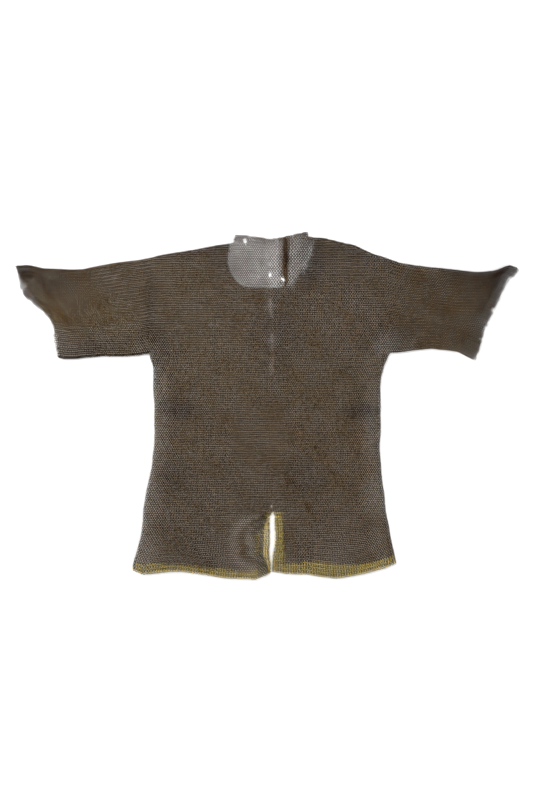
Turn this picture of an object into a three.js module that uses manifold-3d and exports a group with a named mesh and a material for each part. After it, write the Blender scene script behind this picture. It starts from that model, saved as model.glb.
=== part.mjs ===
// A mail shirt (hauberk) of iron rings with brass hem and vent edging, lying flat on its back.
// Millimetres, +Z up off the surface, +Y towards the neck, +X to the right of someone looking down on it.
// The origin is on the surface, under the middle of the garment's outline.
// Each layer of rings is a wall of the thickness that tilted, linked rings have. The back lies on the
// surface and the front lies on the back; the sleeves are flattened tubes of the same net.
import * as THREE from "three";
import { mergeVertices } from "three/addons/utils/BufferGeometryUtils.js";
import Module from "manifold-3d";

// ---- driving sizes -------------------------------------------------------------------------------
const WALL = 4.4; // one layer of linked rings, lying flat
const GAP = 0.3; // between pieces, and between the two layers
const FRONT_Z = WALL + GAP; // underside of the front layer where it lies on the back
const FOLD_EDGE = 1.3; // wall left at the very edge of a side or shoulder fold
const LOFT = 1.0; // how far the front layer lies off the back away from its folds and edges
const MOST_LOFT = 3.4; // highest ridge of the front layer over the back
const EDGE_EASE = 26; // width over which the front layer comes down to a fold edge
const SLIT_EASE = 14; // the same beside the neck, slit and vent

// ---- outline -------------------------------------------------------------------------------------
// Body, from the shoulder down: where its left and right edges are. Above the armpit these are the
// armhole joins with the sleeves, below it the side folds.
const BODY_SIDES = [
  { y: 346, left: -264, right: 276 },
  { y: 244, left: -266, right: 278 },
  { y: 152, left: -269, right: 281 },
  { y: 122, left: -270, right: 281 },
  { y: 108, left: -267, right: 276 },
  { y: 93, left: -262, right: 269 },
  { y: 65, left: -261, right: 263 },
  { y: 10, left: -259, right: 261 },
  { y: -55, left: -257, right: 260 },
  { y: -98, left: -259, right: 260 },
  { y: -140, left: -266, right: 263 },
  { y: -181, left: -273, right: 266 },
  { y: -236, left: -283, right: 274 },
  { y: -292, left: -289, right: 282 },
  { y: -333, left: -297, right: 291 },
  { y: -367, left: -307, right: 298 },
  { y: -400, left: -312, right: 302 },
];
const ARMPIT = 122; // y of the armpits

// Upper edge of each body layer: the shoulder folds, and between them the back of the neck.
const SHOULDER = [
  { x: -266, front: 343, back: 343 },
  { x: -218, front: 353, back: 353 },
  { x: -158, front: 362, back: 362 },
  { x: -119, front: 370, back: 370 },
  { x: -84, front: 375, back: 375 },
  { x: -72, front: 376, back: 395 },
  { x: -52, front: 379, back: 393 },
  { x: 4, front: 382, back: 386 },
  { x: 44, front: 385, back: 391 },
  { x: 84, front: 387, back: 400.5 },
  { x: 102, front: 388, back: 390 },
  { x: 122, front: 389, back: 389 },
  { x: 145, front: 385, back: 385 },
  { x: 201, front: 371, back: 371 },
  { x: 244, front: 351, back: 351 },
  { x: 278, front: 341, back: 341 },
];

// Lower edge: where the iron rings end and the brass begins, and the edge of the brass.
const HEM = [
  { x: -310, join: -361, edge: -377 },
  { x: -284, join: -362, edge: -388 },
  { x: -225, join: -362, edge: -381 },
  { x: -193, join: -365, edge: -382 },
  { x: -144, join: -370, edge: -389 },
  { x: -96, join: -375, edge: -396 },
  { x: -64, join: -378, edge: -398 },
  { x: -29, join: -377, edge: -400.5 },
  { x: -2, join: -371, edge: -389 },
  { x: 12, join: -369, edge: -381 },
  { x: 43, join: -364, edge: -386 },
  { x: 91, join: -358, edge: -388 },
  { x: 120, join: -357, edge: -392 },
  { x: 162, join: -364, edge: -397 },
  { x: 210, join: -364, edge: -389 },
  { x: 242, join: -359, edge: -381 },
  { x: 274, join: -351, edge: -372 },
  { x: 299, join: -342, edge: -360 },
];

// Neck scoop of the front, from the left shoulder round to the right one.
const NECK = [
  { x: -83, y: 373 },
  { x: -87, y: 341 },
  { x: -84, y: 317 },
  { x: -73, y: 296 },
  { x: -56, y: 280 },
  { x: -26, y: 274 },
  { x: 7, y: 274 },
  { x: 34, y: 277 },
  { x: 58, y: 290 },
  { x: 81, y: 311 },
  { x: 96, y: 341 },
  { x: 106, y: 378 },
];

// Front slit under the neck: its middle and how far it stands open.
const SLIT = [
  { y: 284, x: 7, open: 1.2 },
  { y: 254, x: 8, open: 1.6 },
  { y: 231, x: 9, open: 3.4 },
  { y: 203, x: 10, open: 1.6 },
  { y: 180, x: 11, open: 1.2 },
  { y: 152, x: 13, open: 2.8 },
  { y: 122, x: 12, open: 1.2 },
  { y: 88, x: 12, open: 2.6 },
  { y: 67, x: 13, open: 1.2 },
];

// Vent in the lower edge. "right" is the right edge of the slot in both layers, "back" and "front" are
// its left edges in each layer; "band..." are the outer edges of the brass rings beside them.
const VENT = [
  { y: -243, right: 20, back: 7, front: 5, bandRight: 36, bandBack: -7, bandFront: -9 },
  { y: -292, right: 20, back: 6, front: -9, bandRight: 37, bandBack: -9, bandFront: -25 },
  { y: -331, right: 15, back: 3, front: -12, bandRight: 41, bandBack: -12, bandFront: -27 },
  { y: -369, right: 12, back: 9, front: 4, bandRight: 42, bandBack: -13, bandFront: -14 },
  { y: -402, right: 12, back: 9, front: 9, bandRight: 42, bandBack: -13, bandFront: -14 },
];
const VENT_TOP = -243;
const VENT_ROUND = 3; // how far the slot's rounded head reaches above VENT_TOP

// Sleeves, from the armhole to the cuff. "along" is the share of the way; "dropTop" and "dropBottom"
// are how far the upper and lower folds hang below a straight line from the armhole to the cuff.
const SLEEVE_LEFT = {
  side: -1,
  armhole: "left",
  armTop: 343,
  armBottom: 121.5,
  stations: [
    { along: 0.0, dropTop: 0, dropBottom: 0 },
    { along: 0.12, dropTop: 5, dropBottom: 4 },
    { along: 0.24, dropTop: 7, dropBottom: 4 },
    { along: 0.41, dropTop: 13, dropBottom: 2.5 },
    { along: 0.5, dropTop: 17, dropBottom: 1 },
    { along: 0.61, dropTop: 16, dropBottom: 3 },
    { along: 0.8, dropTop: 10, dropBottom: 5 },
    { along: 0.92, dropTop: -1, dropBottom: 4 },
    { along: 1.0, dropTop: 0, dropBottom: 0 },
  ],
  // The cuff, from the upper fold (0) to the lower one (1), in each layer.
  cuff: [
    { down: 0.0, frontX: -579, frontY: 324, backX: -579, backY: 324 },
    { down: 0.1, frontX: -569, frontY: 303, backX: -575, backY: 303 },
    { down: 0.25, frontX: -551, frontY: 272, backX: -569, backY: 270 },
    { down: 0.4, frontX: -532, frontY: 243, backX: -556, backY: 248 },
    { down: 0.55, frontX: -508, frontY: 214, backX: -520, backY: 222 },
    { down: 0.68, frontX: -495, frontY: 192, backX: -497, backY: 195 },
    { down: 0.76, frontX: -490, frontY: 174, backX: -490, backY: 174 },
    { down: 0.85, frontX: -488, frontY: 152, backX: -488, backY: 152 },
    { down: 1.0, frontX: -482, frontY: 113, backX: -482, backY: 113 },
  ],
};
const SLEEVE_RIGHT = {
  side: 1,
  armhole: "right",
  armTop: 341,
  armBottom: 123,
  stations: [
    { along: 0.0, dropTop: 0, dropBottom: 0 },
    { along: 0.1, dropTop: 8, dropBottom: -2 },
    { along: 0.22, dropTop: 11, dropBottom: -7 },
    { along: 0.36, dropTop: 13, dropBottom: -13 },
    { along: 0.5, dropTop: 15, dropBottom: -19 },
    { along: 0.68, dropTop: 16, dropBottom: -18 },
    { along: 0.82, dropTop: 10, dropBottom: -16 },
    { along: 0.93, dropTop: -5, dropBottom: -6 },
    { along: 1.0, dropTop: 0, dropBottom: 0 },
  ],
  cuff: [
    { down: 0.0, frontX: 579, frontY: 319, backX: 579, backY: 319 },
    { down: 0.1, frontX: 563, frontY: 297, backX: 563, backY: 297 },
    { down: 0.25, frontX: 542, frontY: 265, backX: 542, backY: 265 },
    { down: 0.4, frontX: 525, frontY: 232, backX: 525, backY: 232 },
    { down: 0.55, frontX: 511, frontY: 203, backX: 511, backY: 203 },
    { down: 0.7, frontX: 499, frontY: 168, backX: 499, backY: 168 },
    { down: 0.85, frontX: 489, frontY: 136, backX: 489, backY: 136 },
    { down: 1.0, frontX: 476, frontY: 105, backX: 476, backY: 105 },
  ],
};

// ---- folds of the front layer --------------------------------------------------------------------
// Soft ridges (rise > 0) and troughs (rise < 0): middle, length, width, the angle of the length from
// +X, and the height.
const FOLDS = [
  { name: "waist pull, left", x: -205, y: -6, length: 150, width: 34, angle: -4, rise: -1.4 },
  { name: "waist pull, right", x: 218, y: -10, length: 130, width: 34, angle: 6, rise: -1.4 },
  { name: "over the left pull", x: -195, y: 30, length: 190, width: 44, angle: -8, rise: 1.6 },
  { name: "over the right pull", x: 200, y: 30, length: 170, width: 44, angle: 9, rise: 1.5 },
  { name: "under the left pull", x: -200, y: -44, length: 170, width: 44, angle: 4, rise: 1.4 },
  { name: "under the right pull", x: 190, y: -48, length: 180, width: 46, angle: -3, rise: 1.5 },
  { name: "left of the slit", x: -36, y: 170, length: 210, width: 50, angle: 88, rise: 1.3 },
  { name: "right of the slit", x: 60, y: 165, length: 200, width: 46, angle: 92, rise: 1.4 },
  { name: "left armpit drag", x: -235, y: 155, length: 190, width: 42, angle: 52, rise: 1.9 },
  { name: "right armpit drag", x: 243, y: 158, length: 190, width: 42, angle: 128, rise: 1.9 },
  { name: "left chest", x: -140, y: 95, length: 190, width: 60, angle: 22, rise: 1.2 },
  { name: "right chest", x: 150, y: 88, length: 180, width: 60, angle: 160, rise: 1.1 },
  { name: "left sleeve, upper", x: -400, y: 268, length: 260, width: 46, angle: 8, rise: 1.5 },
  { name: "left sleeve, lower", x: -400, y: 168, length: 230, width: 50, angle: 4, rise: 1.7 },
  { name: "left sleeve hollow", x: -390, y: 220, length: 200, width: 34, angle: 5, rise: -0.9 },
  { name: "right sleeve, upper", x: 430, y: 262, length: 260, width: 46, angle: -8, rise: 1.7 },
  { name: "right sleeve, lower", x: 400, y: 176, length: 200, width: 46, angle: -2, rise: 1.5 },
  { name: "right sleeve hollow", x: 420, y: 218, length: 210, width: 32, angle: -5, rise: -0.9 },
  { name: "skirt, far left", x: -228, y: -250, length: 230, width: 54, angle: 82, rise: 1.6 },
  { name: "skirt, left", x: -120, y: -265, length: 200, width: 60, angle: 88, rise: 1.2 },
  { name: "skirt, right", x: 130, y: -255, length: 220, width: 60, angle: 92, rise: 1.3 },
  { name: "skirt, far right", x: 230, y: -245, length: 220, width: 52, angle: 99, rise: 1.6 },
  { name: "belly", x: 20, y: -110, length: 220, width: 70, angle: 4, rise: 1.0 },
];

// ---- working out ---------------------------------------------------------------------------------
const lerp = (a, b, t) => a + (b - a) * t;
const clamp = (v, low, high) => Math.min(high, Math.max(low, v));
const soft = (t) => {
  const s = clamp(t, 0, 1);
  return s * s * (3 - 2 * s);
};

// The value of a table's column at a place along another, on straight lines between its rows.
function along(table, key, column, at) {
  const rising = table[table.length - 1][key] > table[0][key];
  const rows = rising ? table : [...table].reverse();
  let i = 1;
  while (i < rows.length - 1 && rows[i][key] < at) i++;
  const [a, b] = [rows[i - 1], rows[i]];
  return lerp(a[column], b[column], clamp((at - a[key]) / (b[key] - a[key]), 0, 1));
}

// How far the folds lift the front layer at a point, before it eases down to its edges.
function foldRise(x, y) {
  let sum = LOFT;
  for (const f of FOLDS) {
    const turn = (f.angle * Math.PI) / 180;
    const u = ((x - f.x) * Math.cos(turn) + (y - f.y) * Math.sin(turn)) / (f.length / 2);
    const v = (-(x - f.x) * Math.sin(turn) + (y - f.y) * Math.cos(turn)) / (f.width / 2);
    if (Math.abs(u) < 1 && Math.abs(v) < 1)
      sum += f.rise * (1 - u * u) ** 2 * (0.5 + 0.5 * Math.cos(Math.PI * v));
  }
  return clamp(sum, 0, MOST_LOFT);
}

// Distance from a point to a polyline of {x, y}.
function toLine(points, x, y) {
  let best = Infinity;
  for (let i = 1; i < points.length; i++) {
    const [a, b] = [points[i - 1], points[i]];
    const [dx, dy] = [b.x - a.x, b.y - a.y];
    const t = clamp(((x - a.x) * dx + (y - a.y) * dy) / (dx * dx + dy * dy), 0, 1);
    best = Math.min(best, Math.hypot(x - a.x - t * dx, y - a.y - t * dy));
  }
  return best;
}
const slitLine = SLIT.map((s) => ({ x: s.x, y: s.y }));
const ventLine = VENT.map((v) => ({ x: (v.right + v.front) / 2, y: v.y }));

// Lift of the front layer of the body, from the distance to its nearest side or shoulder fold.
function bodyRise(x, y, toFold) {
  const open = Math.min(toLine(NECK, x, y), toLine(slitLine, x, y), toLine(ventLine, x, y) - 10);
  return foldRise(x, y) * soft(toFold / EDGE_EASE) * (0.35 + 0.65 * soft(open / SLIT_EASE));
}

// Share of the wall left at a distance from a fold, where the outside rounds off in a quarter circle.
function rounding(toFold) {
  const t = 1 - clamp(toFold / WALL, 0, 1);
  return FOLD_EDGE / WALL + (1 - FOLD_EDGE / WALL) * Math.sqrt(1 - t * t);
}

function meshOf(name, geometry, material) {
  const mesh = new THREE.Mesh(geometry, material);
  mesh.name = name;
  return mesh;
}

function geometryOf(points, triangles) {
  const flat = new Float32Array(points.length * 3);
  points.forEach((p, i) => flat.set(p, i * 3));
  const g = new THREE.BufferGeometry();
  g.setAttribute("position", new THREE.BufferAttribute(flat, 3));
  g.setIndex(triangles);
  return g;
}

// A wall over a grid of places: place(i, j) gives { x, y, low, high } for columns i and rows j.
function wall(columns, rows, place) {
  const points = [];
  const id = (i, j, upper) => (j * (columns + 1) + i) * 2 + (upper ? 1 : 0);
  for (let j = 0; j <= rows; j++)
    for (let i = 0; i <= columns; i++) {
      const p = place(i, j);
      points.push([p.x, p.y, p.low], [p.x, p.y, p.high]);
    }
  const faces = [];
  const quad = (a, b, c, d) => faces.push(a, b, c, a, c, d);
  for (let j = 0; j < rows; j++)
    for (let i = 0; i < columns; i++) {
      quad(id(i, j, 1), id(i + 1, j, 1), id(i + 1, j + 1, 1), id(i, j + 1, 1));
      quad(id(i, j, 0), id(i, j + 1, 0), id(i + 1, j + 1, 0), id(i + 1, j, 0));
    }
  for (let i = 0; i < columns; i++) {
    quad(id(i, 0, 0), id(i + 1, 0, 0), id(i + 1, 0, 1), id(i, 0, 1));
    quad(id(i, rows, 1), id(i + 1, rows, 1), id(i + 1, rows, 0), id(i, rows, 0));
  }
  for (let j = 0; j < rows; j++) {
    quad(id(0, j, 1), id(0, j + 1, 1), id(0, j + 1, 0), id(0, j, 0));
    quad(id(columns, j, 0), id(columns, j + 1, 0), id(columns, j + 1, 1), id(columns, j, 1));
  }
  return geometryOf(points, faces);
}

// Shares from 0 to 1 with two close steps at each end, for the rounded folds. Between those they take
// the given shares, and even ones wherever two would be further apart than "most".
function shares(span, wanted, most) {
  const near = [0, 1.5 / span, WALL / span];
  const last = 1 - near[2];
  const least = 9 / span;
  const kept = [near[2]];
  for (const w of [...wanted].sort((p, q) => p - q))
    if (w - kept[kept.length - 1] > least && last - w > least) kept.push(w);
  kept.push(last);
  const middle = kept.flatMap((k, i) => {
    if (i + 1 === kept.length) return [k];
    const parts = Math.ceil((kept[i + 1] - k) / most);
    return Array.from({ length: parts }, (_, n) => lerp(k, kept[i + 1], n / parts));
  });
  return [...near.slice(0, 2), ...middle, 1 - near[1], 1];
}
const sharesOf = (table) =>
  table.map((row) => (row.x - table[0].x) / (table[table.length - 1].x - table[0].x));

const BODY_WIDTH = 534;
const BODY_HEIGHT = 720;

// One layer of the body, from the edge of the hem up to the shoulder, with the edges that the tables give.
function bodyLayer(layer, across, up) {
  const us = shares(BODY_WIDTH, [...sharesOf(SHOULDER), ...sharesOf(HEM)], across);
  const vs = [0, ...shares(BODY_HEIGHT, [], up).slice(3)];
  return wall(us.length - 1, vs.length - 1, (i, j) => {
    const [u, v] = [us[i], vs[j]];
    const y = lerp(
      along(HEM, "x", "edge", lerp(HEM[0].x, HEM[HEM.length - 1].x, u)),
      along(SHOULDER, "x", layer, lerp(BODY_SIDES[0].left, BODY_SIDES[0].right, u)),
      v,
    );
    const [left, right] = [along(BODY_SIDES, "y", "left", y), along(BODY_SIDES, "y", "right", y)];
    const x = lerp(left, right, u);
    const toSide = y < ARMPIT ? Math.min(u, 1 - u) * (right - left) : Infinity;
    const overNeck = x > NECK[0].x && x < NECK[NECK.length - 1].x;
    const toTop = layer === "back" && overNeck ? Infinity : (1 - v) * BODY_HEIGHT;
    const toFold = Math.min(toSide, toTop);
    if (layer === "back") return { x, y, low: WALL * (1 - rounding(toFold)), high: WALL };
    const low = FRONT_Z + bodyRise(x, y, toFold);
    return { x, y, low, high: low + WALL * rounding(toFold) };
  });
}

// A flattened tube of the net, from the armhole to the cuff, open at both ends.
function sleeve(form) {
  const steps = form.stations.map((s) => s.along);
  // Round the section: the front from the lower fold to the upper one, then the back and down again.
  const lands = 9;
  const near = [0.008, 0.024];
  const section = [];
  const inner = (k) => lerp(near[1], 1 - near[1], k / lands);
  for (let k = lands; k >= 0; k--) section.push({ down: inner(k), front: true });
  section.push({ down: near[0], front: true }, { down: 0, fold: true }, { down: near[0] });
  for (let k = 0; k <= lands; k++) section.push({ down: inner(k) });
  section.push({ down: 1 - near[0] }, { down: 1, fold: true }, { down: 1 - near[0], front: true });
  const surface = (s, down, layer) => {
    const armY = lerp(form.armTop, form.armBottom, down);
    const arm = { x: along(BODY_SIDES, "y", form.armhole, armY) + form.side * GAP, y: armY };
    const cuffX = along(form.cuff, "down", layer + "X", down);
    const cuffY = along(form.cuff, "down", layer + "Y", down);
    const drop = lerp(
      along(form.stations, "along", "dropTop", s),
      along(form.stations, "along", "dropBottom", s),
      down,
    );
    return { x: lerp(arm.x, cuffX, s), y: lerp(arm.y, cuffY, s) - drop };
  };
  const [outer, hollow] = [[], []];
  for (const s of steps)
    for (const p of section) {
      const layer = p.front ? "front" : "back";
      const at = surface(s, p.down, layer);
      const height = lerp(222, 212, s);
      const toFold = Math.min(p.down, 1 - p.down) * height;
      const wallHere = WALL * rounding(toFold);
      const rise = foldRise(at.x, at.y) * soft(toFold / EDGE_EASE) * soft((1 - s) * 12 + 0.35);
      const inset = surface(s, clamp(p.down, 3.2 / height, 1 - 3.2 / height), layer);
      if (p.fold) {
        outer.push([at.x, at.y, WALL + GAP / 2]);
        hollow.push([inset.x, inset.y, WALL + GAP / 2]);
      } else if (p.front) {
        outer.push([at.x, at.y, FRONT_Z + rise + wallHere]);
        hollow.push([inset.x, inset.y, FRONT_Z + rise]);
      } else {
        outer.push([at.x, at.y, WALL - wallHere]);
        hollow.push([inset.x, inset.y, WALL]);
      }
    }
  const n = section.length;
  const m = steps.length;
  const points = [...outer, ...hollow];
  const faces = [];
  const quad = (a, b, c, d) =>
    form.side > 0 ? faces.push(a, b, c, a, c, d) : faces.push(a, c, b, a, d, c);
  const out = (s, k) => s * n + (k % n);
  const inn = (s, k) => n * m + s * n + (k % n);
  for (let k = 0; k < n; k++) {
    for (let s = 0; s + 1 < m; s++) {
      quad(out(s, k), out(s + 1, k), out(s + 1, k + 1), out(s, k + 1));
      quad(inn(s, k), inn(s, k + 1), inn(s + 1, k + 1), inn(s + 1, k));
    }
    quad(out(0, k), out(0, k + 1), inn(0, k + 1), inn(0, k));
    quad(out(m - 1, k), inn(m - 1, k), inn(m - 1, k + 1), out(m - 1, k + 1));
  }
  return geometryOf(points, faces);
}

// ---- cutting -------------------------------------------------------------------------------------
const wasm = await Module();
wasm.setup();

function solid(geometry) {
  const g = geometry.index ? geometry.clone() : geometry;
  g.deleteAttribute("normal");
  g.deleteAttribute("uv");
  const merged = mergeVertices(g, 1e-4);
  return new wasm.Manifold(
    new wasm.Mesh({
      numProp: 3,
      vertProperties: merged.attributes.position.array,
      triVerts: new Uint32Array(merged.index.array),
    }),
  );
}

function geometryFrom(made) {
  const m = made.getMesh();
  const g = new THREE.BufferGeometry();
  const flat = new Float32Array(m.numVert * 3);
  for (let i = 0; i < m.numVert; i++)
    for (let k = 0; k < 3; k++) flat[i * 3 + k] = m.vertProperties[i * m.numProp + k];
  g.setAttribute("position", new THREE.BufferAttribute(flat, 3));
  g.setIndex([...m.triVerts]);
  return g;
}

// An upright prism over an outline of {x, y}, through both layers.
function prism(outline) {
  const shape = new THREE.Shape(outline.map((p) => new THREE.Vector2(p.x, p.y)));
  const g = new THREE.ExtrudeGeometry(shape, { depth: 60, bevelEnabled: false });
  g.translate(0, 0, -20);
  return solid(g);
}

const curveThrough = (points, parts) =>
  new THREE.SplineCurve(points.map((p) => new THREE.Vector2(p.x, p.y))).getPoints(parts);

const neckCut = prism([
  ...curveThrough(NECK, 30),
  { x: 110, y: 440 },
  { x: -84, y: 440 },
]);
const slitCut = prism([
  ...SLIT.map((s) => ({ x: s.x - s.open / 2, y: s.y })),
  ...[...SLIT].reverse().map((s) => ({ x: s.x + s.open / 2, y: s.y })),
]);
// Everything below the line where the iron ends and the brass hem begins, moved up by a distance.
const underJoin = (up) =>
  prism([
    { x: -340, y: HEM[0].join + up },
    ...HEM.map((h) => ({ x: h.x, y: h.join + up })),
    { x: 340, y: HEM[HEM.length - 1].join + up },
    { x: 340, y: -450 },
    { x: -340, y: -450 },
  ]);
// Between two columns of the vent's table, each moved sideways by a distance.
const ventStrip = (left, moveLeft, right, moveRight, top) =>
  prism([
    ...[...VENT].reverse().map((r) => ({ x: r[left] + moveLeft, y: r.y })),
    { x: VENT[0][left] + moveLeft, y: top },
    { x: VENT[0][right] + moveRight, y: top },
    ...VENT.map((r) => ({ x: r[right] + moveRight, y: r.y })),
  ]);
// The slot itself, with its rounded head.
function ventSlot(left) {
  const head = [0.08, 0.25, 0.5, 0.75, 0.92].map((t) => ({
    x: lerp(VENT[0][left], VENT[0].right, t),
    y: VENT_TOP + VENT_ROUND * Math.sin(Math.PI * t),
  }));
  return prism([
    ...[...VENT].reverse().map((r) => ({ x: r[left], y: r.y })),
    ...head,
    ...VENT.map((r) => ({ x: r.right, y: r.y })),
  ]);
}

// ---- materials -----------------------------------------------------------------------------------
const iron = new THREE.MeshStandardMaterial({ color: 0x5e5247, roughness: 0.5, metalness: 0.9 });
const ironBack = new THREE.MeshStandardMaterial({ color: 0x6b6461, roughness: 0.55, metalness: 0.9 });
const brass = new THREE.MeshStandardMaterial({ color: 0x8f7a45, roughness: 0.45, metalness: 0.9 });

// ---- the garment ---------------------------------------------------------------------------------
const garment = new THREE.Group();

// Each body layer is made whole, and its iron and its brass are parted along the joins.
const LAYERS = [
  { layer: "front", across: 0.045, up: 0.04, band: "bandFront", iron, cuts: [neckCut, slitCut] },
  { layer: "back", across: 0.08, up: 0.068, band: "bandBack", iron: ironBack, cuts: [] },
];
for (const { layer, across, up, band, iron: net, cuts } of LAYERS) {
  let whole = solid(bodyLayer(layer, across, up)).subtract(ventSlot(layer));
  for (const cut of cuts) whole = whole.subtract(cut);
  const body = whole
    .subtract(underJoin(GAP / 2))
    .subtract(ventStrip(band, 0, "bandRight", 0, VENT_TOP + GAP));
  garment.add(meshOf("body_" + layer, geometryFrom(body), net));
  const hem = whole.intersect(underJoin(-GAP / 2));
  for (const run of hem.decompose().filter((r) => r.volume() > 1)) {
    const box = run.boundingBox();
    const side = box.min[0] + box.max[0] < 0 ? "left" : "right";
    garment.add(meshOf("hem_" + layer + "_" + side, geometryFrom(run), brass));
  }
  const above = whole.subtract(underJoin(GAP / 2));
  const [left, right] = [
    above.intersect(ventStrip(band, GAP, layer, 0, VENT_TOP)),
    above.intersect(ventStrip("right", 0, "bandRight", -GAP, VENT_TOP)),
  ];
  garment.add(meshOf("vent_" + layer + "_left", geometryFrom(left), brass));
  garment.add(meshOf("vent_" + layer + "_right", geometryFrom(right), brass));
}
garment.add(meshOf("sleeve_left", sleeve(SLEEVE_LEFT), iron));
garment.add(meshOf("sleeve_right", sleeve(SLEEVE_RIGHT), iron));

export default garment;
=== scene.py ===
# A mail hauberk of linked iron rings, laid flat with its front up, with a brass hem and a brass-edged
# vent. Each ring is real geometry: the net is a four-in-one lattice that follows the two layers of the
# body and the flattened sleeves, closes round the folds and stops at the free edges.
# Tables are in millimetres, on the frame of the solids; the scene is in metres.
import math

import bpy
import numpy as np
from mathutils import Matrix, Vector


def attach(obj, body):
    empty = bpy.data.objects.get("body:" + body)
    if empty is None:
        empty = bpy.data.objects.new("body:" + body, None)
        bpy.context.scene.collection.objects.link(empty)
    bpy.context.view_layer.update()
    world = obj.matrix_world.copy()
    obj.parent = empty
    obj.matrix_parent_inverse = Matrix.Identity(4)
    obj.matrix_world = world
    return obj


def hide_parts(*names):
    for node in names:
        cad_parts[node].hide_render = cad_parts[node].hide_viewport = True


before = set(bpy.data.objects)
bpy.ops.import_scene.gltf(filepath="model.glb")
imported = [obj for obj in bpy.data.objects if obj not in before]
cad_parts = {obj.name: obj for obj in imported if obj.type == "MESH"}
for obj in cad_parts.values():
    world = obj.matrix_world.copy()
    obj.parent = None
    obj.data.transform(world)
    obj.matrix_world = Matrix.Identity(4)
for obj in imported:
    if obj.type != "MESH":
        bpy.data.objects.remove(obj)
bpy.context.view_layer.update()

# ---- the ring and the net ------------------------------------------------------------------------
# The net hangs with its files of rings upright: the rings of a file stand edge to edge, 8.1 mm apart,
# and every second file leans the other way and is set half a ring lower.
# Radius of the middle of the wire, half the width of the flattened wire, and how far a ring leans out
# of the layer. The back's rings are the broader ones, so that little of the floor shows through.
SHAPE = {
    "front": (3.3, 0.59, math.radians(30)),
    "back": (3.3, 0.62, math.radians(30)),
    "bared": (3.3, 0.6, math.radians(30)),
    "worn": (3.3, 0.9, math.radians(30)),
}
RIDGE, EDGE = 0.68, -0.34  # how far the wire's ridge stands out of the ring's plane, and its edges
ROW = 4.05  # half the distance between the rings of a file
COLUMNS_LEFT = 54  # pairs of files from the left side to the slit
COLUMNS_RIGHT = 50  # and from the slit to the right side
SLEEVE_PITCH = 5.1  # between pairs of files on the sleeves

BACK_Z = 2.5  # middle of the back layer
FRONT_Z = 7.1  # middle of the front layer where it lies on the back
MID_Z = (BACK_Z + FRONT_Z) / 2
FOLD_RADIUS = (FRONT_Z - BACK_Z) / 2
SIDE_INSET = 1.6  # the net's fold lies this far inside the outline, and the rings stand out to it
REACH = 3.9  # how far a ring reaches past its middle at a free edge
LOFT, MOST_LOFT, EDGE_EASE, SLIT_EASE = 1.0, 3.4, 26.0, 14.0

# ---- outline -------------------------------------------------------------------------------------
SIDES = np.array(  # y, left, right
    [
        (-400, -312, 302),
        (-367, -307, 298),
        (-333, -297, 291),
        (-292, -289, 282),
        (-236, -283, 274),
        (-181, -273, 266),
        (-140, -266, 263),
        (-98, -259, 260),
        (-55, -257, 260),
        (10, -259, 261),
        (65, -261, 263),
        (93, -262, 269),
        (108, -267, 276),
        (122, -270, 281),
        (152, -269, 281),
        (244, -266, 278),
        (346, -264, 276),
    ],
    float,
)
ARMPIT = 122.0
SHOULDER = np.array(  # x, front, back
    [
        (-266, 343, 343),
        (-218, 353, 353),
        (-158, 362, 362),
        (-119, 370, 370),
        (-84, 375, 375),
        (-76, 375.5, 378),
        (-71, 376, 395),
        (-52, 379, 393),
        (4, 382, 386),
        (44, 385, 391),
        (91, 387, 401),
        (94, 387.5, 391),
        (102, 388, 390),
        (122, 389, 389),
        (145, 385, 385),
        (201, 371, 371),
        (244, 351, 351),
        (278, 341, 341),
    ],
    float,
)
HEM = np.array(  # x, where iron meets brass, edge
    [
        (-310, -361, -377),
        (-284, -362, -388),
        (-225, -362, -381),
        (-193, -365, -382),
        (-144, -370, -389),
        (-96, -375, -396),
        (-64, -378, -398),
        (-29, -377, -400.5),
        (-2, -371, -389),
        (12, -369, -381),
        (43, -364, -386),
        (91, -358, -388),
        (120, -357, -392),
        (162, -364, -397),
        (210, -364, -389),
        (242, -359, -381),
        (274, -351, -372),
        (299, -342, -360),
    ],
    float,
)
HEM_MIDDLE = -386.0
NECK = np.array(
    [
        (-83, 373),
        (-87, 341),
        (-84, 317),
        (-73, 296),
        (-56, 280),
        (-26, 274),
        (7, 274),
        (34, 277),
        (58, 290),
        (81, 311),
        (96, 341),
        (106, 378),
    ],
    float,
)
SLIT = np.array(  # y, x, how far it stands open
    [
        (67, 13, 1.2),
        (88, 12, 2.6),
        (122, 12, 1.2),
        (152, 13, 2.8),
        (180, 11, 1.2),
        (203, 10, 1.6),
        (231, 9, 3.4),
        (254, 8, 1.6),
        (284, 7, 1.2),
    ],
    float,
)
VENT = np.array(  # y, right, back, front, band right, band back, band front
    [
        (-402, 12, 9, 9, 42, -13, -14),
        (-369, 12, 9, 4, 42, -13, -14),
        (-331, 15, 3, -12, 41, -12, -27),
        (-292, 20, 6, -9, 37, -9, -25),
        (-243, 20, 7, 5, 36, -7, -9),
    ],
    float,
)
VENT_TOP = -243.0

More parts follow.
